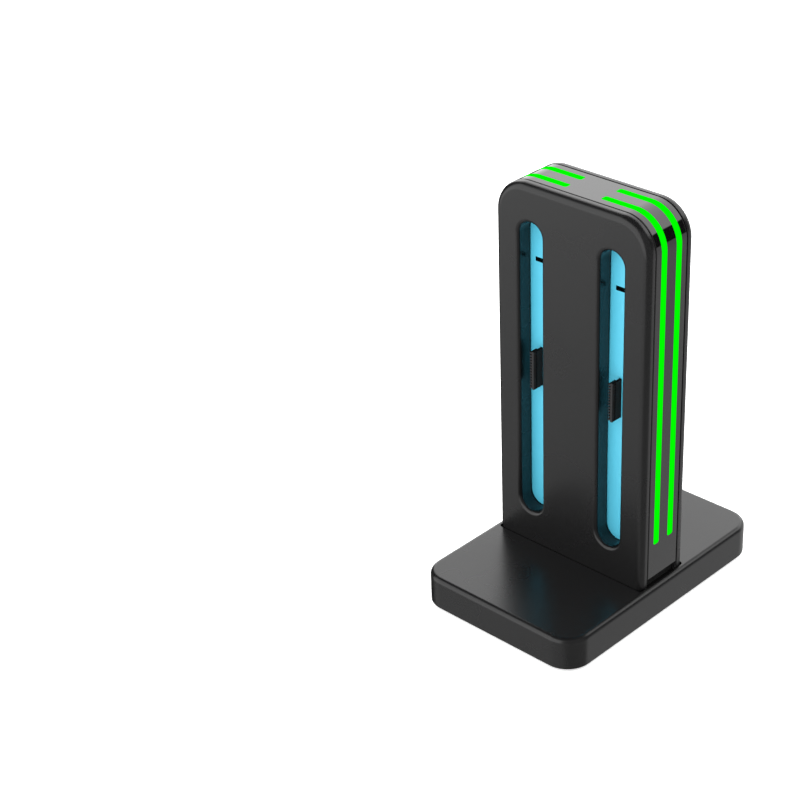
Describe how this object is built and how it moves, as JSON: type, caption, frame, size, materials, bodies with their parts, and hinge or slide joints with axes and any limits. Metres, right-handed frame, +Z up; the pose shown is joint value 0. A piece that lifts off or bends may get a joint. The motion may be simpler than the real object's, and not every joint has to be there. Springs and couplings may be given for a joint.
{
  "type": "controller charging dock",
  "caption": "Upright charging tower on a flat base, with round-ended slots and contact blades for slim game controllers on both wide faces and lines of light over its ends.",
  "frame": {"origin": "on the ground under the middle of the base", "axes": "+Z up; +X towards the tower's plain end, away from the charging inlet; wide faces towards -Y, the front, and +Y"},
  "size_m": [0.0618, 0.0926, 0.135],
  "materials": {
    "black_satin": "satin black moulded plastic with a fine even grain",
    "black_matt": "plain black moulded plastic",
    "black_gloss": "polished black plastic",
    "green_light": "clear guide lit pure green",
    "cyan_liner": "smooth light blue plastic",
    "contact_black": "black moulded connector plastic",
    "contact_metal": "dark plated spring contacts",
    "rubber": "soft black rubber",
    "steel": "plain cut steel plate",
    "zinc_screw": "zinc-plated steel",
    "circuit_board": "green solder mask",
    "circuit_flex": "amber film with white mask",
    "lamp": "small light chips",
    "chip_black": "moulded chip packages",
    "coil_grey": "ferrite",
    "capacitor_tan": "ceramic capacitors",
    "nickel_shell": "nickel-plated drawn steel"
  },
  "bodies": {
    "root": {"base_shell": "black_satin", "base_plate": "black_matt", "foot_front_left": "rubber", "foot_rear_left": "rubber", "foot_front_right": "rubber", "foot_rear_right": "rubber", "ballast_front": "steel", "ballast_rear": "steel", "base_screws": "zinc_screw", "tower_screws": "zinc_screw", "board_screws": "zinc_screw", "front_shell": "black_satin", "rear_shell": "black_satin", "trim_band": "black_gloss", "light_guide_plain_end": "green_light", "light_guide_port_end": "green_light", "light_strip_plain_end": "circuit_flex", "light_strip_port_end": "circuit_flex", "lamps_plain_end": "lamp", "lamps_port_end": "lamp", "main_board": "circuit_board", "board_chips": "chip_black", "board_coils": "coil_grey", "board_capacitors": "capacitor_tan", "inlet_socket": "nickel_shell", "inlet_tongue": "chip_black", "slot_liner_front_left": "cyan_liner", "contact_block_front_left": "contact_black", "contact_pins_front_left": "contact_metal", "slot_liner_front_right": "cyan_liner", "contact_block_front_right": "contact_black", "contact_pins_front_right": "contact_metal", "slot_liner_rear_left": "cyan_liner", "contact_block_rear_left": "contact_black", "contact_pins_rear_left": "contact_metal", "slot_liner_rear_right": "cyan_liner", "contact_block_rear_right": "contact_black", "contact_pins_rear_right": "contact_metal"}
  },
  "joints": []
}
